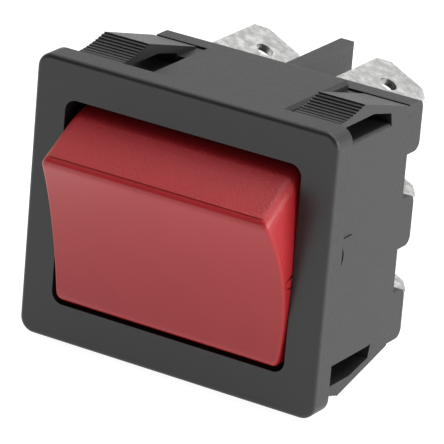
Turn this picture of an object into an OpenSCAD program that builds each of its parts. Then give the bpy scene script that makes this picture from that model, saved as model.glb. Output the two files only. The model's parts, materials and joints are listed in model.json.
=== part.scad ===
// Double-pole changeover rocker switch for a panel cut-out.
// The origin is the centre of the panel seat, the plane of the bezel's rear face.
// +X runs along the long side of the bezel, +Y goes into the panel, +Z is up.
// The rocker is drawn with its lower half pressed in, so that the upper contacts are closed.

/* [Body] */
// Width of the body behind the panel
body_w = 28.8; // [24:0.1:36]
// Height of the body at its middle blocks
body_h = 25.8; // [21.5:0.1:31]
// Depth of the body behind the panel seat
body_d = 14.6; // [13:0.1:18]
// Thickness of the side walls
side_wall = 1.4; // [1.1:0.1:2]
// Depth of the latch pockets below the tops of the middle blocks
pocket_drop = 1.6; // [1.3:0.1:2]
// Wall between a latch pocket and the rocker's aperture
pocket_wall = 1.0; // [0.8:0.1:1.4]
// Depth of the rear pocket that takes the base
rear_pocket_d = 3.1; // [2.6:0.1:4]
// Wall between the rear pocket and the land above it
rear_wall = 0.55; // [0.5:0.05:1]

/* [Bezel] */
// Distance that the bezel reaches past the body at each side
bezel_side = 2.1; // [1.5:0.1:4]
// Distance that the bezel reaches past the body above and below
bezel_over = 1.25; // [1:0.05:3]
// Thickness of the bezel in front of the panel
bezel_t = 2.7; // [1.8:0.1:3.4]
// Radius of the bezel's four corners
bezel_corner_r = 1.5; // [0.8:0.1:3]
// Rounding of the bezel's front edge
bezel_edge_r = 0.45; // [0.2:0.05:0.7]
// Corner radius of the aperture
aperture_r = 1.2; // [0.6:0.1:2]

/* [Latches] */
// Width of a latch
latch_w = 5.0; // [4:0.1:6]
// Width of the grooves between the latches and the middle blocks
groove_w = 1.85; // [1:0.05:2.5]
// Distance from the seat to the ridge of a latch
latch_ridge_y = 5.4; // [4.5:0.1:6.5]
// Height of a latch's ridge above the middle block
latch_ridge_rise = 1.7; // [1.2:0.1:2.4]
// Distance from the seat to the free end of a latch
latch_tip_y = 0.9; // [0.6:0.1:1.5]
// Height of a latch's free end above the middle block
latch_tip_rise = 0.8; // [0.6:0.1:1.1]
// Height of a latch's underside above the middle block
latch_under_rise = 0.25; // [0:0.05:0.3]
// Thickness of a latch at its root
latch_root_t = 0.7; // [0.5:0.1:1]
// Number of grip steps on a latch
latch_steps = 9; // [5:1:12]

/* [Rocker] */
// Angle of the rocker from its middle position
rocker_tilt = 16; // [12:0.5:17]
// Distance from the seat back to the pivot
pivot_y = 2.1; // [1.8:0.1:2.6]
// Distance from the pivot forward to the ridges of the rocker
ridge_y = 7.75; // [7:0.05:8.5]
// Depth of the hollow in the rocker's front face
dish = 1.1; // [0.6:0.1:1.5]
// Rounding of the front face's side edges
rocker_edge_r = 0.8; // [0.3:0.1:1.5]
// Wall thickness of the rocker
rocker_wall = 1.3; // [1:0.1:1.8]
// Distance from the pivot forward to where the skirts begin
skirt_y = 1.5; // [1.3:0.1:3]
// Distance from the pivot back to the ends of the skirts
skirt_back = 0.8; // [0.3:0.1:1.2]
// Radius of the pivot pins
pin_r = 1.7; // [1.2:0.05:1.8]

/* [Springs and plungers] */
// Radius of the bores that hold the springs and plungers
bore_r = 1.85; // [1.6:0.05:2.1]
// Wall of the sleeves round the bores
sleeve_wall = 0.8; // [0.6:0.05:1.1]
// Radius of a plunger's round tip
tip_r = 1.2; // [0.9:0.05:1.4]
// Length of a plunger's guided part
guide_len = 3.4; // [2.5:0.1:4]
// Wire diameter of the springs
wire_d = 0.4; // [0.3:0.05:0.5]
// Turns of a spring
spring_turns = 6; // [5:1:8]

/* [Contacts] */
// Distance between the two poles
pole_pitch = 14.0; // [13:0.1:14.6]
// Angle of a contact bridge from its middle position
bridge_tilt = 7; // [5:0.5:8]
// Thickness of a contact bridge
bridge_t = 0.6; // [0.4:0.05:0.8]
// Width of a contact bridge
bridge_w = 4.4; // [3.6:0.1:4.8]
// Distance from a row of blades in to its contacts
contact_inset = 2.8; // [2.6:0.1:3.4]
// Radius of a contact's head
contact_r = 1.5; // [1.2:0.1:1.7]
// Height of a contact's head
contact_t = 0.7; // [0.5:0.05:0.8]
// Radius of the bead that a bridge rocks on
bead_r = 0.5; // [0.4:0.05:0.6]

/* [Terminals] */
// Distance from the tops of the middle blocks in to the outer rows of blades
row_inset = 2.9; // [2.6:0.1:3.4]
// Angle of the blades about their own length
blade_tilt = 26; // [20:1:30]
// Width of a blade
blade_w = 6.3; // [4.8:0.1:6.5]
// Thickness of the terminal strip
strip_t = 0.8; // [0.6:0.1:1]
// Length of a blade behind the bars
blade_out = 9.3; // [7:0.1:13]
// Size of the corner cuts at a blade's tip
blade_cut = 1.1; // [0.8:0.1:1.5]
// Radius of a blade's eyelet
eye_r = 0.9; // [0.7:0.05:1]
// Distance from a blade's tip to its eyelet
eye_from_tip = 3.6; // [3:0.1:4.5]
// Width of the shank that passes through the base
shank_w = 3.4; // [2.8:0.1:3.6]

/* [Base] */
// Height of the bars that the blades come out of
bar_h = 5.1; // [4.8:0.1:5.4]
// Depth of the bars behind the body
bar_d = 2.6; // [2:0.1:3.5]
// Rounding of the bars' rear edges
bar_r = 0.9; // [0.5:0.1:1.2]
// Distance that the outer bars' middles lie inside the outer rows of blades
bar_inset = 0.4; // [0.1:0.1:0.6]
// Distance that the bars stop short of the body's sides
bar_end_inset = 0.2; // [0:0.1:0.6]
// Thickness of the barrier between the two poles
barrier_t = 1.5; // [1.2:0.1:1.8]
// Distance that the barrier reaches behind the bars
barrier_out = 9.8; // [5:0.1:14]

/* [Fits] */
// Clearance between the rocker's sides and the aperture
rocker_side_gap = 0.6; // [0.2:0.05:0.8]
// Clearance between the pressed end of the rocker and the aperture
rocker_end_gap = 0.33; // [0.15:0.01:0.5]
// Clearance round the base in the body
seat_gap = 0.05; // [0.03:0.01:0.1]
// Clearance of the pivot pins
pin_gap = 0.08; // [0.03:0.01:0.1]
// Distance that the pins stop short of the body's sides
pin_recess = 0.5; // [0.2:0.05:0.8]
// Clearance of the plungers in their bores
plunger_gap = 0.1; // [0.05:0.01:0.12]
// Clearance round the terminals in the base
slot_gap = 0.05; // [0.03:0.01:0.1]
// Clearance of a bridge's bead in its seat
bead_gap = 0.06; // [0.03:0.01:0.1]
// Gap between closed contacts
contact_gap = 0.05; // [0.03:0.01:0.08]
// Least gap between a plunger's tip and its bridge
tip_gap = 0.05; // [0.03:0.01:0.1]

/* [Hidden] */
$fn = 48;
eps = 0.01;

bezel_w = body_w + 2 * bezel_side;
bezel_h = body_h + 2 * bezel_over;
aperture_w = body_w - 2 * side_wall;
plate_h = body_h - 2 * pocket_drop;
aperture_h = plate_h - 2 * pocket_wall;

// The base's floor lies in the rear pocket and carries the terminals' feet, let in flush.
floor_y = body_d - rear_pocket_d + seat_gap;
bar_back_y = body_d + bar_d;
fixed_face_y = floor_y - contact_t;
row_pitch = body_h / 2 - row_inset;
contact_z = row_pitch - contact_inset;
mouth_d = 1.5;
blade_tip_y = bar_back_y + blade_out;

// The rear pocket is just high enough for the outer rows' slots.
slot_w = shank_w + 2 * slot_gap;
slot_t = strip_t + 2 * slot_gap;
slot_edge = 0.3;
slot_rise = slot_w / 2 * sin(blade_tilt) + slot_t / 2 * cos(blade_tilt);
rear_pocket_z = row_pitch + slot_rise + slot_edge;

bar_pitch = row_pitch - bar_inset;
bar_top_z = bar_pitch + bar_h / 2;
bar_half_w = body_w / 2 - bar_end_inset;
barrier_y = bar_back_y + barrier_out;
barrier_z = bar_top_z - 0.05;

// A bridge turns about its bead; its wings are dished so that a closed one lies flat.
wing_lift = 0.1;
bridge_y = fixed_face_y - contact_gap - contact_t + wing_lift * cos(bridge_tilt);
bridge_front = wing_lift + bridge_t;
wing_end = 0.3;
bridge_half = contact_z + contact_r + wing_end;
bridge_x = pole_pitch / 2;
rivet_r = 0.8;
rivet_head = 0.25;

// The round tip's centre comes nearest to the bridge in the middle of the travel.
tip_y = bridge_y - pivot_y - bridge_front - (tip_r + tip_gap) / cos(bridge_tilt);
neck_len = 1.1;
sleeve_short = 0.9;
guide_back = tip_y - neck_len;
guide_front = guide_back - guide_len;
sleeve_back = guide_back - sleeve_short;

// The pressed end of the rocker just clears the aperture; its skirts turn about the pivot.
rocker_w = aperture_w - 2 * rocker_side_gap;
ridge_z = (aperture_h / 2 - rocker_end_gap - ridge_y * sin(rocker_tilt)) / cos(rocker_tilt);
skirt_z = ridge_z + (ridge_y - skirt_y) * tan(rocker_tilt);
skirt_r = norm([skirt_y, skirt_z]);
skirt_inner_z = skirt_z - rocker_wall;
pin_len = rocker_side_gap + side_wall - pin_recess;

// The front face of the rocker is part of a cylinder through both ridges.
dish_r = (ridge_z * ridge_z + dish * dish) / (2 * dish);
dish_bottom_y = -ridge_y + dish;
inner_front_y = dish_bottom_y + rocker_wall;
sleeve_r = bore_r + sleeve_wall;
lobe_r = pin_r + 1.4;

// The base's inner wall between the poles starts behind the pressed end's reach.
partition_y = pivot_y + skirt_back * cos(rocker_tilt) + skirt_r * sin(rocker_tilt) + 0.4;
partition_z = aperture_h / 2 - 1.1;

// The springs lie between the bores' bottoms and the plungers.
spring_slack = 0.05;
spring_y0 = inner_front_y + spring_slack;
spring_y1 = guide_front - spring_slack;
spring_r = bore_r - 0.2 - wire_d / 2;
ring_sides = 8;
rings_per_turn = 20;

latch_x = body_w / 2 - latch_w / 2;
block_w = body_w - 2 * latch_w - 2 * groove_w;
pocket_z = plate_h / 2;
latch_ridge_z = body_h / 2 + latch_ridge_rise;
latch_tip_z = body_h / 2 + latch_tip_rise;
latch_under_z = body_h / 2 + latch_under_rise;
latch_root_y = body_d - 3.6;
latch_end_y = body_d - 0.35;
latch_end_z = bar_top_z;
land_z = rear_pocket_z + rear_wall;

// ---------- helpers ----------

// Extrudes an outline drawn in X and Z from y0 to y1.
module along_y(y0, y1) {
    translate([0, y1, 0])
        rotate([90, 0, 0])
            linear_extrude(y1 - y0) children();
}

// Extrudes an outline drawn in Y and Z from x0 to x1.
module along_x(x0, x1) {
    translate([x0, 0, 0])
        rotate([90, 0, 90])
            linear_extrude(x1 - x0) children();
}

module rounded_rect(w, h, r) {
    square([w - 2 * r, h], center = true);
    square([w, h - 2 * r], center = true);
    for (sx = [-1, 1], sz = [-1, 1])
        translate([sx * (w / 2 - r), sz * (h / 2 - r)]) circle(r);
}

module mirror_copy(v) {
    children();
    mirror(v) children();
}

// Puts a pole's pieces, drawn at X = 0, at the left or right pole.
module at_pole(side) {
    translate([side * bridge_x, 0, 0]) children();
}

// Turns the rocker and what it carries from its own frame to the rest pose.
module rocker_pose() {
    translate([0, pivot_y, 0]) rotate([rocker_tilt, 0, 0]) children();
}

// Turns a bridge from its own frame to the rest pose.
module bridge_pose() {
    translate([0, bridge_y, 0]) rotate([-bridge_tilt, 0, 0]) children();
}

// ---------- housing ----------

// The bezel's plate with its front edge rounded all round.
module bezel_plate() {
    r = bezel_corner_r;
    e = bezel_edge_r;
    y_edge = -bezel_t + e;
    along_y(y_edge, 0) rounded_rect(bezel_w, bezel_h, r);
    along_y(-bezel_t, 0) rounded_rect(bezel_w - 2 * e, bezel_h - 2 * e, r - e);
    for (sz = [-1, 1])
        translate([0, y_edge, sz * (bezel_h / 2 - e)]) rotate([0, 90, 0])
            cylinder(r = e, h = bezel_w - 2 * r, center = true);
    for (sx = [-1, 1])
        translate([sx * (bezel_w / 2 - e), y_edge, 0])
            cylinder(r = e, h = bezel_h - 2 * r, center = true);
    for (sx = [-1, 1], sz = [-1, 1])
        translate([sx * (bezel_w / 2 - r), y_edge, sz * (bezel_h / 2 - r)])
            rotate([90, 0, 0]) rotate_extrude() translate([r - e, 0]) circle(e);
}

// Height of the stepped ramp at a share of its length from the free end, steeper near the ridge.
ramp_power = 1.6;
function ramp_z(share) =
    latch_tip_z + (latch_ridge_z - latch_tip_z) * pow(share, ramp_power);

// The side view of an upper latch: a spring arm rooted at the rear, with a stepped front ramp.
module latch_profile() {
    under_flat = 2.0;
    root_bite = 0.3;
    run = latch_ridge_y - latch_tip_y;
    ramp = [
        for (i = [latch_steps - 1 : -1 : 0])
            each [
                [latch_tip_y + run * (i + 1) / latch_steps, ramp_z(i / latch_steps)],
                [latch_tip_y + run * i / latch_steps, ramp_z(i / latch_steps)]
            ]
    ];
    slope = (latch_ridge_z - latch_end_z) / (latch_end_y - latch_ridge_y);
    root_top_z = latch_ridge_z - slope * (latch_root_y - latch_ridge_y);
    polygon(concat(
        [
            [latch_tip_y, latch_under_z],
            [latch_ridge_y + under_flat, latch_under_z],
            [latch_root_y - root_bite, root_top_z - latch_root_t],
            [latch_root_y, pocket_z - root_bite],
            [latch_end_y, pocket_z - root_bite],
            [latch_end_y, latch_end_z],
            [latch_ridge_y, latch_ridge_z]
        ],
        ramp
    ));
}

module latches() {
    mirror_copy([1, 0, 0])
        mirror_copy([0, 0, 1])
            along_x(latch_x - latch_w / 2, latch_x + latch_w / 2) latch_profile();
}

// The land that the latches root in, over the rear pocket.
module rear_lands() {
    along_y(latch_root_y, latch_end_y)
        square([body_w, 2 * land_z], center = true);
}

// The blocks above and below, between the latches, with their outer edges trimmed.
module middle_blocks() {
    trim = 0.35;
    z = body_h / 2;
    mirror_copy([0, 0, 1])
        along_y(-eps, body_d - 0.2)
            polygon([
                [-block_w / 2, 0], [block_w / 2, 0],
                [block_w / 2, z - trim], [block_w / 2 - trim, z],
                [-block_w / 2 + trim, z], [-block_w / 2, z - trim]
            ]);
}

// Shallow pads on the side plates beside the pivot.
module side_pads() {
    pad_t = 0.12;
    pad_d = 5.3;
    pad_top_z = 1.8;
    pad_bottom_z = 2.9 - body_h / 2;
    mirror_copy([1, 0, 0])
        along_x(body_w / 2 - eps, body_w / 2 + pad_t)
            translate([0, pad_bottom_z]) square([pad_d, pad_top_z - pad_bottom_z]);
}

module housing() {
    color([0.13, 0.13, 0.13])
    difference() {
        union() {
            bezel_plate();
            along_y(-eps, body_d) rounded_rect(body_w, plate_h, 0.4);
            rear_lands();
            middle_blocks();
            latches();
            side_pads();
        }
        along_y(-bezel_t - 1, body_d + 1) rounded_rect(aperture_w, aperture_h, aperture_r);
        along_y(body_d - rear_pocket_d, body_d + 1)
            rounded_rect(aperture_w, 2 * rear_pocket_z, aperture_r);
        translate([0, pivot_y, 0]) rotate([0, 90, 0])
            cylinder(r = pin_r + pin_gap, h = body_w + 4, center = true);
    }
}

// ---------- base ----------

// The opening for one terminal: a wide mouth for the blade, then a narrow way for the shank.
module terminal_slot(z) {
    mouth_w = blade_w + 2 * slot_gap;
    translate([0, 0, z]) rotate([0, blade_tilt, 0]) {
        translate([-mouth_w / 2, bar_back_y - mouth_d, -slot_t / 2])
            cube([mouth_w, mouth_d + 1, slot_t]);
        translate([-slot_w / 2, floor_y - 1, -slot_t / 2])
            cube([slot_w, bar_back_y - floor_y, slot_t]);
    }
}

// One cross bar, with its rear edges rounded along its whole length.
module cross_bar(z) {
    r = bar_r;
    along_x(-bar_half_w, bar_half_w) translate([0, z]) {
        translate([body_d, -bar_h / 2]) square([bar_d - r, bar_h]);
        translate([body_d, -bar_h / 2 + r]) square([bar_d, bar_h - 2 * r]);
        for (s = [-1, 1])
            translate([bar_back_y - r, s * (bar_h / 2 - r)]) circle(r);
    }
}

// The outline of a terminal's foot, drawn in X and Z, with its contact towards the middle.
module foot_outline(row, grow) {
    pad_w = bridge_w + 0.2;
    pad_in = contact_inset + contact_r + 0.5;
    pad_out = 0.1;
    pad_h = pad_in + pad_out;
    common_w = bridge_w + 2.4;
    common_h = 4.0;
    rotate(-blade_tilt) square([shank_w + 2 * grow, strip_t + 2 * grow], center = true);
    if (row == 0)
        square([common_w + 2 * grow, common_h + 2 * grow], center = true);
    else
        translate([0, row * (pad_out - pad_in) / 2])
            square([pad_w + 2 * grow, pad_h + 2 * grow], center = true);
}

module base() {
    color([0.13, 0.13, 0.13])
    difference() {
        union() {
            along_y(floor_y, body_d)
                rounded_rect(
                    aperture_w - 2 * seat_gap,
                    2 * (rear_pocket_z - seat_gap),
                    aperture_r
                );
            for (row = [-1, 0, 1]) cross_bar(row * bar_pitch);
            translate([-barrier_t / 2, body_d - eps, -barrier_z])
                cube([barrier_t, barrier_y - body_d + eps, 2 * barrier_z]);
            translate([-barrier_t / 2, partition_y, -partition_z])
                cube([barrier_t, floor_y - partition_y + eps, 2 * partition_z]);
        }
        for (side = [-1, 1], row = [-1, 0, 1])
            at_pole(side) {
                terminal_slot(row * row_pitch);
                along_y(floor_y - 1, floor_y + strip_t + slot_gap)
                    translate([0, row * row_pitch]) foot_outline(row, slot_gap);
            }
    }
}

// ---------- rocker ----------

// The side view of the rocker's outer form, in its own frame with the pivot at the origin.
module rocker_side() {
    z = ridge_z - tan(rocker_tilt);
    polygon([[-ridge_y - 1, -z], [-skirt_y, -skirt_z], [-skirt_y, skirt_z], [-ridge_y - 1, z]]);
    intersection() {
        circle(skirt_r, $fn = 180);
        translate([-skirt_y - eps, -skirt_r])
            square([skirt_y + skirt_back + eps, 2 * skirt_r]);
    }
    circle(lobe_r);
}

// A cylinder's part whose inner radius is the dished face, with rounded side edges.
module dished_form() {
    r = rocker_edge_r;
    w = rocker_w / 2;
    depth = ridge_y + lobe_r + 4;
    spread = 60;
    translate([0, dish_bottom_y - dish_r, 0])
        rotate([0, 90, 0]) rotate([0, 0, 90 - spread / 2])
        rotate_extrude(angle = spread, $fn = 180) {
            translate([dish_r + r, -w]) square([depth, 2 * w]);
            translate([dish_r, -w + r]) square([depth, 2 * (w - r)]);
            for (s = [-1, 1]) translate([dish_r + r, s * (w - r)]) circle(r, $fn = 32);
        }
}

// The side view of the hollow behind the front wall.
module cavity_side() {
    z = ridge_z - 1.0;
    back = lobe_r + 1;
    polygon([
        [inner_front_y, -z], [-skirt_y, -skirt_inner_z], [back, -skirt_inner_z],
        [back, skirt_inner_z], [-skirt_y, skirt_inner_z], [inner_front_y, z]
    ]);
}

module rocker_own() {
    difference() {
        union() {
            difference() {
                intersection() {
                    along_x(-rocker_w / 2, rocker_w / 2) rocker_side();
                    dished_form();
                }
                along_x(-rocker_w / 2 + rocker_wall, rocker_w / 2 - rocker_wall)
                    cavity_side();
            }
            for (side = [-1, 1])
                at_pole(side) translate([0, inner_front_y - 0.2, 0]) rotate([-90, 0, 0])
                    cylinder(r = sleeve_r, h = sleeve_back - inner_front_y + 0.2);
            mirror_copy([1, 0, 0])
                translate([rocker_w / 2 - rocker_wall, 0, 0]) rotate([0, 90, 0])
                    cylinder(r = pin_r, h = rocker_wall + pin_len);
        }
        for (side = [-1, 1])
            at_pole(side) translate([0, inner_front_y, 0]) rotate([-90, 0, 0])
                cylinder(r = bore_r, h = 20);
    }
}

module rocker() {
    color([0.70, 0.20, 0.22]) rocker_pose() rocker_own();
}

// ---------- springs and plungers ----------

// A compression spring swept as a helix, with closed end turns.
function spring_rise(turn) =
    let (n = spring_turns, run = spring_y1 - spring_y0 - wire_d, lead = wire_d * 1.02)
    turn < 1 ? turn * lead
    : turn > n - 1 ? run - (n - turn) * lead
    : lead + (turn - 1) * (run - 2 * lead) / (n - 2);

module spring() {
    rings = spring_turns * rings_per_turn;
    points = [
        for (i = [0 : rings])
            let (turn = i / rings_per_turn, a = 360 * turn)
            let (y = spring_y0 + wire_d / 2 + spring_rise(turn))
            for (k = [0 : ring_sides - 1])
                let (b = 360 * k / ring_sides, r = spring_r + wire_d / 2 * cos(b))
                [r * cos(a), y + wire_d / 2 * sin(b), r * sin(a)]
    ];
    sides = [
        for (i = [0 : rings - 1], k = [0 : ring_sides - 1])
            let (a = i * ring_sides + k, b = i * ring_sides + (k + 1) % ring_sides)
            [a, a + ring_sides, b + ring_sides, b]
    ];
    first = [for (k = [0 : ring_sides - 1]) k];
    last = [for (k = [ring_sides - 1 : -1 : 0]) rings * ring_sides + k];
    polyhedron(points, concat(sides, [first, last]));
}

module spring_of(side) {
    color([0.75, 0.76, 0.78]) rocker_pose() at_pole(side) spring();
}

module plunger_of(side) {
    guide_r = bore_r - plunger_gap;
    color([0.90, 0.89, 0.84])
    rocker_pose() at_pole(side) rotate([-90, 0, 0]) {
        translate([0, 0, guide_front]) cylinder(r = guide_r, h = guide_len);
        translate([0, 0, guide_back - eps]) cylinder(r = tip_r, h = tip_y - guide_back + eps);
        translate([0, 0, tip_y]) sphere(tip_r);
    }
}

// ---------- contact bridges ----------

// The side view of a bridge in its own frame: two wings dished towards the plunger.
module bridge_profile() {
    z = bridge_half;
    rise = z * tan(bridge_tilt);
    polygon([
        [-wing_lift, 0], [-wing_lift - rise, z], [-bridge_front - rise, z],
        [-bridge_front, 0], [-bridge_front - rise, -z], [-wing_lift - rise, -z]
    ]);
}

module bridge_of(side) {
    color([0.80, 0.55, 0.35])
    at_pole(side) bridge_pose() difference() {
        union() {
            along_x(-bridge_w / 2, bridge_w / 2) bridge_profile();
            rotate([0, 90, 0]) cylinder(r = bead_r, h = bridge_w, center = true);
        }
        for (row = [-1, 1])
            at_wing(row) translate([0, 0, -5]) cylinder(r = rivet_r, h = 10);
    }
}

// Moves to the place of a contact on a wing, with +Z along the rivet towards the base.
module at_wing(row) {
    rotate([row * bridge_tilt, 0, 0])
        translate([0, 0, row * contact_z]) rotate([-90, 0, 0]) children();
}

module bridge_contact(side, row) {
    back = -wing_lift * cos(bridge_tilt);
    color([0.85, 0.85, 0.83])
    at_pole(side) bridge_pose() at_wing(row) {
        translate([0, 0, back]) cylinder(r = contact_r, h = contact_t);
        translate([0, 0, back - bridge_t - rivet_head])
            cylinder(r = rivet_r, h = bridge_t + rivet_head + eps);
    }
}

// ---------- terminals ----------

// A contact riveted into the foot of a terminal.
module fixed_contact(side, row) {
    color([0.85, 0.85, 0.83])
    at_pole(side) translate([0, fixed_face_y, row * contact_z]) rotate([-90, 0, 0]) {
        cylinder(r = contact_r, h = contact_t);
        translate([0, 0, contact_t - eps]) cylinder(r = rivet_r, h = strip_t + eps);
    }
}

// The blade, drawn flat with its middle plane at Z = 0.
module blade() {
    w = blade_w / 2;
    c = blade_cut;
    mouth_y = bar_back_y - mouth_d + slot_gap;
    difference() {
        translate([0, 0, -strip_t / 2]) linear_extrude(strip_t)
            polygon([
                [-shank_w / 2, floor_y], [shank_w / 2, floor_y], [shank_w / 2, mouth_y],
                [w, mouth_y], [w, blade_tip_y - c], [w - c, blade_tip_y],
                [c - w, blade_tip_y], [-w, blade_tip_y - c], [-w, mouth_y], [-shank_w / 2, mouth_y]
            ]);
        translate([0, blade_tip_y - eye_from_tip, -2]) cylinder(r = eye_r, h = 4);
    }
}

module terminal(side, row) {
    color([0.78, 0.78, 0.76])
    at_pole(side) difference() {
        union() {
            translate([0, 0, row * row_pitch]) rotate([0, blade_tilt, 0]) blade();
            along_y(floor_y, floor_y + strip_t)
                translate([0, row * row_pitch]) foot_outline(row, 0);
        }
        translate([0, floor_y - 1, row * contact_z]) rotate([-90, 0, 0])
            cylinder(r = rivet_r, h = strip_t + 1.2);
    }
}

// The common terminal's foot carries two ears with round seats for the bridge's bead.
module common_terminal(side) {
    ear_t = 0.9;
    ear_top = bridge_y + 0.2;
    color([0.78, 0.78, 0.76])
    at_pole(side) difference() {
        union() {
            rotate([0, blade_tilt, 0]) blade();
            along_y(floor_y, floor_y + strip_t) foot_outline(0, 0);
            for (s = [-1, 1])
                translate([s * (bridge_w / 2 - ear_t / 2) - ear_t / 2, ear_top, -0.9])
                    cube([ear_t, floor_y - ear_top + eps, 1.8]);
        }
        translate([0, bridge_y, 0]) rotate([0, 90, 0])
            cylinder(r = bead_r + bead_gap, h = bridge_w + 4, center = true);
    }
}

// ---------- nodes ----------

housing();
base();
rocker();
spring_of(-1);  // spring_left
spring_of(1);  // spring_right
plunger_of(-1);  // plunger_left
plunger_of(1);  // plunger_right
bridge_of(-1);  // bridge_left
bridge_of(1);  // bridge_right
bridge_contact(-1, 1);  // bridge_contact_upper_left
bridge_contact(-1, -1);  // bridge_contact_lower_left
bridge_contact(1, 1);  // bridge_contact_upper_right
bridge_contact(1, -1);  // bridge_contact_lower_right
fixed_contact(-1, 1);  // fixed_contact_upper_left
fixed_contact(-1, -1);  // fixed_contact_lower_left
fixed_contact(1, 1);  // fixed_contact_upper_right
fixed_contact(1, -1);  // fixed_contact_lower_right
common_terminal(-1);  // common_terminal_left
common_terminal(1);  // common_terminal_right
terminal(-1, 1);  // terminal_upper_left
terminal(-1, -1);  // terminal_lower_left
terminal(1, 1);  // terminal_upper_right
terminal(1, -1);  // terminal_lower_right
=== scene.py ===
import json
import math

import bpy
from mathutils import Matrix, Vector


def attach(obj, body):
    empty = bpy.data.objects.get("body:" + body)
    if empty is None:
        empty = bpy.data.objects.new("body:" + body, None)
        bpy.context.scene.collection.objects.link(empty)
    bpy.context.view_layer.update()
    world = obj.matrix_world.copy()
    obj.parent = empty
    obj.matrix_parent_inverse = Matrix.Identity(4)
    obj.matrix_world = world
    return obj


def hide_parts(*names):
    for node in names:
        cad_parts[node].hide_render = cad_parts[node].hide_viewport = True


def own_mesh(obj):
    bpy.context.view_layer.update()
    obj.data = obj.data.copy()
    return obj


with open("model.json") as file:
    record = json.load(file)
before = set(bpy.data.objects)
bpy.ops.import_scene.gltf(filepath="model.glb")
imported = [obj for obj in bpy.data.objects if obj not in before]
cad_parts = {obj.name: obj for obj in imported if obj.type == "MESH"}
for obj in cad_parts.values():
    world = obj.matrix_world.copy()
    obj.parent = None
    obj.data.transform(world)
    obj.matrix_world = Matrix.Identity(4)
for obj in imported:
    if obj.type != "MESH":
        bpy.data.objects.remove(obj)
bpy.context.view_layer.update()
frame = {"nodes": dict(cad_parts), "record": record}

MM = 0.001



# ---------- camera ----------

# Where the camera looks, how far off it stands and how it is turned.
AIM = Vector((3.46, 0.01, 1.54)) * MM
CAMERA_DISTANCE = 424.7 * MM
CAMERA_AZIMUTH = 30.42
CAMERA_ELEVATION = 20.78
CAMERA_ROLL = 4.907
CAMERA_LENS_MM = 369.8


def add_camera():
    azimuth, elevation = math.radians(CAMERA_AZIMUTH), math.radians(CAMERA_ELEVATION)
    outward = Vector((
        math.sin(azimuth) * math.cos(elevation),
        -math.cos(azimuth) * math.cos(elevation),
        math.sin(elevation),
    ))
    right = (-outward).cross(Vector((0, 0, 1))).normalized()
    up = right.cross(-outward)
    level = Matrix((right, up, outward)).transposed()
    data = bpy.data.cameras.new("camera")
    data.lens = CAMERA_LENS_MM
    data.sensor_width = 36.0
    data.clip_start = 0.01
    data.clip_end = 20.0
    camera = bpy.data.objects.new("camera", data)
    bpy.context.scene.collection.objects.link(camera)
    turn = (level @ Matrix.Rotation(math.radians(CAMERA_ROLL), 3, "Z")).to_4x4()
    camera.matrix_world = Matrix.Translation(AIM + outward * CAMERA_DISTANCE) @ turn
    bpy.context.scene.camera = camera


add_camera()


# ---------- shader kit ----------

class Value:
    """A number that varies over a surface; arithmetic on it adds Math nodes."""

    def __init__(self, finish, socket):
        self.finish = finish
        self.socket = socket

    def math(self, operation, *others):
        node = self.finish.tree.nodes.new("ShaderNodeMath")
        node.operation = operation
        for place, item in enumerate((self,) + others):
            self.finish.feed(node.inputs[place], item)
        return Value(self.finish, node.outputs[0])

    def __add__(self, other):
        return self.math("ADD", other)

    __radd__ = __add__

    def __mul__(self, other):
        return self.math("MULTIPLY", other)

    __rmul__ = __mul__

    def __sub__(self, other):
        return self.math("SUBTRACT", other)

    def __rsub__(self, other):
        return self.math("MULTIPLY", -1.0).math("ADD", other)

    def __truediv__(self, other):
        return self.math("DIVIDE", other)

    def ramp(self, low, high):
        """0 below low, 1 above high, smooth between."""
        node = self.finish.node(
            "ShaderNodeMapRange", {"interpolation_type": "SMOOTHSTEP"},
            {"Value": self, "From Min": low, "From Max": high},
        )
        return Value(self.finish, node.outputs["Result"])


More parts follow.
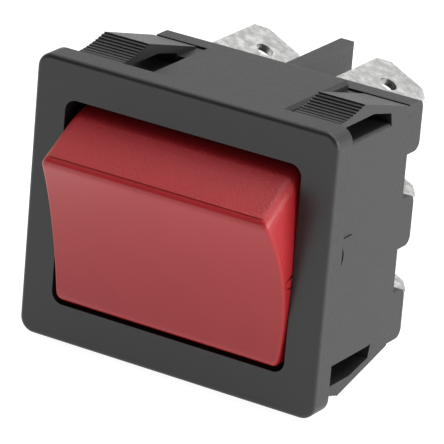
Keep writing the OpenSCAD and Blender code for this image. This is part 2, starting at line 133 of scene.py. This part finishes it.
class Finish:
    """One material, with the nodes that its pattern needs."""

    def __init__(self, name, colour, roughness, metallic=0.0, **shader):
        self.material = bpy.data.materials.new(name)
        self.material.use_nodes = True
        self.tree = self.material.node_tree
        self.tree.nodes.clear()
        self.shader = self.tree.nodes.new("ShaderNodeBsdfPrincipled")
        out = self.tree.nodes.new("ShaderNodeOutputMaterial")
        self.tree.links.new(self.shader.outputs[0], out.inputs["Surface"])
        self.set("Base Color", colour)
        self.set("Roughness", roughness)
        self.set("Metallic", metallic)
        for socket, number in shader.items():
            self.set(socket.replace("_", " "), number)
        self.place = self.node("ShaderNodeTexCoord").outputs["Object"]

    def feed(self, socket, item):
        if isinstance(item, Value):
            item = item.socket
        if isinstance(item, bpy.types.NodeSocket):
            self.tree.links.new(item, socket)
        elif isinstance(item, tuple) and len(item) == 3 and socket.type == "RGBA":
            socket.default_value = item + (1.0,)
        else:
            socket.default_value = item

    def node(self, kind, settings=None, inputs=None):
        node = self.tree.nodes.new(kind)
        for key, setting in (settings or {}).items():
            setattr(node, key, setting)
        for key, item in (inputs or {}).items():
            self.feed(node.inputs[key], item)
        return node

    def set(self, socket, item):
        self.feed(self.shader.inputs[socket], item)

    def noise(self, size_mm, detail=2.0, roughness=0.5, stretch=(1, 1, 1)):
        """Noise from 0 to 1 whose lumps are about size_mm across."""
        place = self.node(
            "ShaderNodeVectorMath", {"operation": "MULTIPLY"},
            {0: self.place, 1: tuple(1.0 / (MM * size_mm * s) for s in stretch)},
        ).outputs["Vector"]
        node = self.node(
            "ShaderNodeTexNoise", None,
            {"Vector": place, "Scale": 1.0, "Detail": detail, "Roughness": roughness},
        )
        return Value(self, node.outputs[0])

    def along(self):
        """X, Y and Z in millimetres."""
        node = self.node("ShaderNodeSeparateXYZ", None, {"Vector": self.place})
        return tuple(Value(self, node.outputs[i]) * 1000.0 for i in range(3))

    def blend(self, share, low, high):
        node = self.node(
            "ShaderNodeMix", {"data_type": "RGBA", "clamp_factor": True},
            {0: share, 6: low, 7: high},
        )
        return node.outputs[2]

    def bump(self, height, depth_mm, under=None):
        inputs = {"Height": height, "Distance": depth_mm * MM, "Strength": 1.0}
        if under is not None:
            inputs["Normal"] = under
        return self.node("ShaderNodeBump", None, inputs).outputs["Normal"]


# ---------- finishes ----------

# The bezel's front face.
BEZEL_FRONT_Y = -2.7

# What lies inside this drum about the X direction is the rocker's smooth front face: the drum's
# axis at rest, in Y and Z, and its radius.
DISH_AXIS = (-33.84, -10.31)
DISH_R = 30.74


def black_nylon():
    """Moulded black nylon: satin on the bezel's front, finely grained behind it."""
    f = Finish("black_nylon", (0.02, 0.02, 0.02), 0.45, Specular_IOR_Level=0.5)
    y = f.along()[1]
    behind = y.ramp(BEZEL_FRONT_Y + 0.04, BEZEL_FRONT_Y + 0.2)
    grain = f.noise(0.20, 3.0, 0.6)
    cloud = f.noise(4.0, 3.0, 0.5)
    f.set("Base Color", f.blend(cloud, (0.009, 0.0086, 0.0088), (0.015, 0.0144, 0.0146)))
    f.set("Roughness", 0.34 + behind * 0.10 + (grain - 0.5) * 0.22 + (cloud - 0.5) * 0.08)
    f.set("Normal", f.bump(grain * (0.2 + behind * 0.8), 0.035))
    return f.material


def red_rocker():
    """Red plastic: smooth in the dish, grained on the ends and sides."""
    f = Finish("red_rocker", (0.3, 0.02, 0.025), 0.35, Specular_IOR_Level=0.5)
    cloud = f.noise(5.0, 2.0, 0.5)
    grain = f.noise(0.26, 3.0, 0.62)
    y, z = f.along()[1:]
    up, forward = z - DISH_AXIS[1], y - DISH_AXIS[0]
    from_axis = (up * up + forward * forward).math("SQRT")
    end_face = from_axis.ramp(DISH_R + 0.25, DISH_R + 0.7)
    f.set("Base Color", f.blend(cloud, (0.33, 0.008, 0.013), (0.38, 0.011, 0.016)))
    grain_depth = 0.08 + end_face * 0.3
    f.set("Roughness", 0.36 + end_face * 0.10 + (grain - 0.5) * grain_depth)
    f.set("Normal", f.bump(grain * (0.15 + end_face * 0.85), 0.05))
    return f.material


def plated_strip():
    """Plated brass strip, mottled, with faint scratches along the blade."""
    f = Finish("plated_strip", (0.8, 0.8, 0.78), 0.3, 1.0)
    mottle = f.noise(0.8, 4.0, 0.65)
    scratch = f.noise(0.12, 2.0, 0.5, (1, 14, 1))
    patches = mottle.ramp(0.35, 0.7)
    f.set("Base Color", f.blend(patches, (0.40, 0.40, 0.39), (0.62, 0.62, 0.61)))
    f.set("Roughness", 0.24 + mottle * 0.22 + (scratch - 0.5) * 0.1)
    f.set("Normal", f.bump(mottle * 0.6 + scratch * 0.4, 0.02))
    return f.material


def copper_strip():
    """Bare copper of the contact bridges."""
    f = Finish("copper_strip", (0.75, 0.45, 0.28), 0.35, 1.0)
    mottle = f.noise(0.9, 3.0, 0.6)
    f.set("Base Color", f.blend(mottle, (0.66, 0.36, 0.21), (0.83, 0.54, 0.36)))
    f.set("Roughness", 0.28 + mottle * 0.2)
    return f.material


def contact_silver():
    """Silver alloy of the contacts."""
    f = Finish("contact_silver", (0.8, 0.79, 0.76), 0.3, 1.0)
    mottle = f.noise(0.5, 3.0, 0.6)
    f.set("Base Color", f.blend(mottle, (0.68, 0.67, 0.64), (0.88, 0.87, 0.84)))
    f.set("Roughness", 0.22 + mottle * 0.25)
    return f.material


def spring_wire():
    """Drawn steel wire."""
    f = Finish("spring_wire", (0.6, 0.6, 0.62), 0.3, 1.0)
    drawn = f.noise(0.15, 2.0, 0.5)
    f.set("Base Color", f.blend(drawn, (0.52, 0.52, 0.54), (0.68, 0.68, 0.70)))
    f.set("Roughness", 0.2 + drawn * 0.2)
    return f.material


def plunger_acetal():
    """Pale acetal of the plungers."""
    f = Finish("plunger_acetal", (0.8, 0.79, 0.74), 0.4)
    cloud = f.noise(0.8, 2.0, 0.5)
    f.set("Base Color", f.blend(cloud, (0.76, 0.75, 0.70), (0.84, 0.83, 0.78)))
    f.set("Roughness", 0.32 + cloud * 0.15)
    return f.material


FINISHES = {
    "black_nylon": black_nylon(),
    "red_rocker": red_rocker(),
    "terminal_metal": plated_strip(),
    "bridge_copper": copper_strip(),
    "contact_silver": contact_silver(),
    "spring_wire": spring_wire(),
    "plunger_acetal": plunger_acetal(),
}

for part in frame["record"]["subparts"]:
    cad_piece = frame["nodes"][part["node"]]
    cad_piece.data.materials.clear()
    cad_piece.data.materials.append(FINISHES[part["material_slot"]])


# ---------- modelling helpers ----------

# How near in mm a vertex counts as being at a place.
NEAR = 0.01


def deselect():
    bpy.ops.object.select_all(action="DESELECT")


def select_only(piece):
    deselect()
    piece.select_set(True)
    bpy.context.view_layer.objects.active = piece


def add_block(name, low, high):
    """A block between two corners, in mm."""
    deselect()
    low, high = Vector(low) * MM, Vector(high) * MM
    bpy.ops.mesh.primitive_cube_add(size=1.0, location=(low + high) / 2, scale=high - low)
    block = bpy.context.object
    block.name = name
    bpy.ops.object.transform_apply(location=True, rotation=True, scale=True)
    return block


def add_rod(name, radius, start, end, sides=64):
    """A round rod between two points, in mm."""
    deselect()
    start, end = Vector(start) * MM, Vector(end) * MM
    run = end - start
    bpy.ops.mesh.primitive_cylinder_add(
        vertices=sides, radius=radius * MM, depth=run.length, location=(start + end) / 2,
        rotation=run.to_track_quat("Z", "Y").to_euler(),
    )
    rod = bpy.context.object
    rod.name = name
    bpy.ops.object.transform_apply(location=True, rotation=True, scale=True)
    return rod


def combine(piece, tool, operation):
    """Joins the tool to the piece or cuts it away, and drops the tool."""
    step = piece.modifiers.new("combine", "BOOLEAN")
    step.solver = "EXACT"
    step.operation = operation
    step.object = tool
    select_only(piece)
    bpy.ops.object.modifier_apply(modifier=step.name)
    bpy.data.objects.remove(tool)


def pick_vertices(piece, test):
    """Goes into edit mode with the vertices selected whose place in mm passes the test."""
    bpy.ops.object.mode_set(mode="OBJECT")
    mesh = piece.data
    for items in (mesh.polygons, mesh.edges):
        items.foreach_set("select", [False] * len(items))
    for vertex in mesh.vertices:
        vertex.select = test(vertex.co / MM)
    bpy.ops.object.mode_set(mode="EDIT")
    bpy.ops.mesh.select_mode(type="VERT")


def pick_edges(piece, test):
    """Goes into edit mode with the edges selected whose two ends, in mm, pass the test."""
    bpy.ops.object.mode_set(mode="OBJECT")
    mesh = piece.data
    for items in (mesh.polygons, mesh.vertices):
        items.foreach_set("select", [False] * len(items))
    for edge in mesh.edges:
        a, b = (mesh.vertices[i].co / MM for i in edge.vertices)
        edge.select = test(a, b)
    bpy.ops.object.mode_set(mode="EDIT")
    bpy.ops.mesh.select_mode(type="EDGE")


def pick_rim(piece, toward):
    """Selects the edges between the faces that look along toward and the other faces."""
    bpy.ops.object.mode_set(mode="OBJECT")
    mesh = piece.data
    facing = {}
    for face in mesh.polygons:
        for key in face.edge_keys:
            facing.setdefault(key, []).append(face.normal.dot(toward) > 0.7)
        face.select = False
    for vertex in mesh.vertices:
        vertex.select = False
    for edge in mesh.edges:
        edge.select = len(set(facing[tuple(sorted(edge.vertices))])) == 2
    bpy.ops.object.mode_set(mode="EDIT")
    bpy.ops.mesh.select_mode(type="EDGE")


def slice_across(heights):
    """Cuts the faces of the piece in edit mode at each height, so that it can be curved."""
    for height in heights:
        bpy.ops.mesh.select_all(action="SELECT")
        bpy.ops.mesh.bisect(plane_co=(0, 0, height * MM), plane_no=(0, 0, 1))


def slice_behind(y):
    """Cuts the faces of the piece in edit mode at one depth."""
    bpy.ops.mesh.select_all(action="SELECT")
    bpy.ops.mesh.bisect(plane_co=(0, y * MM, 0), plane_no=(0, 1, 0))


def spread_behind(piece, y, share):
    """Makes the piece taller by a share from a depth to its back."""
    pick_vertices(piece, lambda v: v.y > y - NEAR)
    bpy.ops.transform.resize(value=(1, 1, share), center_override=(0, 0, 0))


def bulging_block(name, low, high, slices, half_width):
    """A block whose two sides bulge: half_width gives half its width at each height."""
    block = add_block(name, low, high)
    bpy.ops.object.mode_set(mode="EDIT")
    slice_across(slices)
    for height in sorted(set(slices) | {low[2], high[2]}):
        pick_vertices(block, lambda v: abs(v.z - height) < NEAR)
        share = half_width(height) / high[0]
        bpy.ops.transform.resize(value=(share, 1, 1), center_override=(0, 0, 0))
    return block


def finish_piece(piece, angle=32.0):
    """Tidies a finished piece's faces and shades it smooth up to the angle."""
    bpy.ops.object.mode_set(mode="OBJECT")
    select_only(piece)
    bpy.ops.object.mode_set(mode="EDIT")
    bpy.ops.mesh.select_all(action="SELECT")
    bpy.ops.mesh.remove_doubles(threshold=0.001 * MM)
    bpy.ops.mesh.normals_make_consistent(inside=False)
    bpy.ops.object.mode_set(mode="OBJECT")
    bpy.ops.object.shade_smooth_by_angle(angle=math.radians(angle))


# ---------- rocker ----------

# The pivot's place behind the seat, and the rocker's tilt at rest.
PIVOT_Y = 2.1
ROCKER_TILT = 16.0

# The rocker's outside, in its own frame with the pivot at the origin.
RIDGE_Y, RIDGE_Z = -7.75, 8.15
DISH = 1.4
SKIRT_Y, SKIRT_Z, SKIRT_BACK = -1.5, 9.94, 0.8
ROCKER_HALF = 12.95
SIDE_R = 52.5
END_ROUND = 0.95
FRONT_ROUND = 0.36

# The slices that its curves are made of, on each side of the middle.
SLICE = 0.68
SLICES = 10

# The hollow behind its front wall.
WALL = 1.3
FRONT_WALL_BACK_Y = -5.35
RIDGE_WALL = 1.0
HOLLOW_HALF = ROCKER_HALF - WALL - 0.6

# The lobes and pins at its sides, and the sleeves for the springs and plungers.
LOBE_R, LOBE_END = 3.1, ROCKER_HALF - 0.05
PIN_R, PIN_END = 1.7, 13.9
POLE_X = 7
SLEEVE_R, SLEEVE_BACK = 2.65, 4.14
BORE_R = 1.85
OVERCUT = 1.0


def rocker_half(z):
    """Half the rocker's width at a height: its sides bulge."""
    return ROCKER_HALF - z * z / (2 * SIDE_R)


def dish_depth(z):
    """How far the front face lies behind the ridges, at a height."""
    radius = (RIDGE_Z ** 2 + DISH ** 2) / (2 * DISH)
    return math.sqrt(radius ** 2 - z * z) - (radius - DISH)


def add_rocker_block():
    """The rocker's outside: a wedge with bulging sides and a dished front."""
    heights = [i * SLICE for i in range(-SLICES, SLICES + 1)]
    block = bulging_block(
        "rocker_moulding", (-ROCKER_HALF, RIDGE_Y, -RIDGE_Z), (ROCKER_HALF, SKIRT_BACK, RIDGE_Z),
        heights, rocker_half,
    )
    slice_behind(SKIRT_Y)
    spread_behind(block, SKIRT_Y, SKIRT_Z / RIDGE_Z)
    for height in heights:
        pick_vertices(block, lambda v: v.y < RIDGE_Y + NEAR and abs(v.z - height) < NEAR)
        bpy.ops.transform.translate(value=(0, dish_depth(height) * MM, 0))
    bpy.ops.object.mode_set(mode="OBJECT")
    return block


def add_hollow():
    """What is cut from the rocker behind its front wall."""
    top = RIDGE_Z - RIDGE_WALL
    hollow = add_block(
        "hollow", (-HOLLOW_HALF, FRONT_WALL_BACK_Y, -top), (HOLLOW_HALF, SKIRT_BACK + OVERCUT, top)
    )
    bpy.ops.object.mode_set(mode="EDIT")
    slice_behind(SKIRT_Y)
    spread_behind(hollow, SKIRT_Y, (SKIRT_Z - WALL) / top)
    bpy.ops.object.mode_set(mode="OBJECT")
    return hollow


def add_pivot_and_sleeve(rocker, side):
    """Joins one side's lobe and pin and one sleeve to the rocker, and bores the sleeve."""
    inside, pole = side * HOLLOW_HALF, side * POLE_X
    lobe = add_rod("lobe", LOBE_R, (inside, 0, 0), (side * LOBE_END, 0, 0))
    combine(rocker, lobe, "UNION")
    pin = add_rod("pin", PIN_R, (inside, 0, 0), (side * PIN_END, 0, 0))
    combine(rocker, pin, "UNION")
    root = FRONT_WALL_BACK_Y - 0.2
    sleeve = add_rod("sleeve", SLEEVE_R, (pole, root, 0), (pole, SLEEVE_BACK, 0))
    combine(rocker, sleeve, "UNION")
    bore = add_rod("bore", BORE_R, (pole, FRONT_WALL_BACK_Y, 0), (pole, 6.0, 0))
    combine(rocker, bore, "DIFFERENCE")


def runs_along_a_corner(a, b):
    """Whether an edge runs front to back at one of the rocker's four outer corners."""
    outside = all(abs(v.z) > RIDGE_Z - 0.15 and abs(v.x) > HOLLOW_HALF + 0.95 for v in (a, b))
    return outside and abs(a.y - b.y) > 0.1


def round_edges(rocker):
    select_only(rocker)
    pick_edges(rocker, runs_along_a_corner)
    bpy.ops.mesh.bevel(offset=END_ROUND * MM, segments=6, affect="EDGES", clamp_overlap=False)
    pick_rim(rocker, Vector((0, -1, 0)))
    bpy.ops.mesh.bevel(offset=FRONT_ROUND * MM, segments=4, affect="EDGES", clamp_overlap=False)
    bpy.ops.object.mode_set(mode="OBJECT")


def make_rocker():
    rocker = add_rocker_block()
    combine(rocker, add_hollow(), "DIFFERENCE")
    for side in (-1, 1):
        add_pivot_and_sleeve(rocker, side)
    round_edges(rocker)
    rocker.data.transform(
        Matrix.Translation((0, PIVOT_Y * MM, 0))
        @ Matrix.Rotation(math.radians(ROCKER_TILT), 4, "X")
    )
    finish_piece(rocker)
    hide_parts("rocker")
    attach(rocker, "rocker")
    rocker.data.materials.clear()
    rocker.data.materials.append(FINISHES["red_rocker"])


make_rocker()


# ---------- springs ----------


def make_spring(side):
    """The spring again, as a piece of its own that rides with the rocker."""
    node = frame["nodes"]["spring_" + side]
    spring = bpy.data.objects.new("coil_" + side, node.data.copy())
    bpy.context.scene.collection.objects.link(spring)
    spring.data.transform(node.matrix_world)
    finish_piece(spring)
    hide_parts(node.name)
    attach(spring, "rocker")
    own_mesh(spring)


for side in ("left", "right"):
    make_spring(side)


# ---------- floor and light ----------

# The floor lies just under the bezel's lower edge.
FLOOR_Z = -14.65 * MM
FLOOR_SIZE = 6.0

# How bright the surroundings are, as a light, in front of the switch and behind it, and the
# stretch of directions, as the Y share, over which one turns to the other.
WORLD_FRONT = 0.16
WORLD_BEHIND = 0.85
WORLD_TURN = (-0.75, 0.1)


def add_floor():
    deselect()
    bpy.ops.mesh.primitive_plane_add(size=FLOOR_SIZE, location=(0, 0, FLOOR_Z))
    floor = bpy.context.object
    floor.name = "floor"
    f = Finish("floor_white", (0.25, 0.25, 0.25), 0.9)
    f.set("Emission Color", (1.0, 1.0, 1.0))
    f.set("Emission Strength", 0.95)
    floor.data.materials.append(f.material)


def add_softbox(name, place, size, power):
    """A soft lamp at place, in metres, facing the switch."""
    data = bpy.data.lights.new(name, "AREA")
    data.shape = "RECTANGLE"
    data.size, data.size_y = size
    data.energy = power
    lamp = bpy.data.objects.new(name, data)
    bpy.context.scene.collection.objects.link(lamp)
    inward = -Vector(place)
    turn = inward.to_track_quat("-Z", "Y").to_matrix().to_4x4()
    lamp.matrix_world = Matrix.Translation(Vector(place)) @ turn


def add_world():
    """Evenly white to the eye; as a light it is bright behind, dim in front."""
    world = bpy.data.worlds.new("studio")
    bpy.context.scene.world = world
    world.use_nodes = True
    nodes, links = world.node_tree.nodes, world.node_tree.links
    nodes.clear()
    direction = nodes.new("ShaderNodeTexCoord")
    split = nodes.new("ShaderNodeSeparateXYZ")
    links.new(direction.outputs["Generated"], split.inputs[0])
    front = nodes.new("ShaderNodeMapRange")
    front.interpolation_type = "SMOOTHSTEP"
    front.inputs["From Min"].default_value = WORLD_TURN[0]
    front.inputs["From Max"].default_value = WORLD_TURN[1]
    front.inputs["To Min"].default_value = WORLD_FRONT
    front.inputs["To Max"].default_value = WORLD_BEHIND
    links.new(split.outputs["Y"], front.inputs["Value"])
    eye = nodes.new("ShaderNodeLightPath")
    seen = nodes.new("ShaderNodeBackground")
    seen.inputs["Strength"].default_value = 1.0
    seen.inputs["Color"].default_value = (1, 1, 1, 1)
    light = nodes.new("ShaderNodeBackground")
    light.inputs["Color"].default_value = (1, 1, 1, 1)
    links.new(front.outputs["Result"], light.inputs["Strength"])
    mix = nodes.new("ShaderNodeMixShader")
    links.new(eye.outputs["Is Camera Ray"], mix.inputs["Fac"])
    links.new(light.outputs[0], mix.inputs[1])
    links.new(seen.outputs[0], mix.inputs[2])
    out = nodes.new("ShaderNodeOutputWorld")
    links.new(mix.outputs[0], out.inputs["Surface"])


add_floor()
add_world()
add_softbox("softbox_above", (0.10, 0.15, 0.60), (0.5, 0.5), 3.0)
add_softbox("softbox_right", (0.60, 0.10, 0.15), (0.4, 0.4), 3.5)
bpy.context.scene.view_settings.view_transform = "Standard"
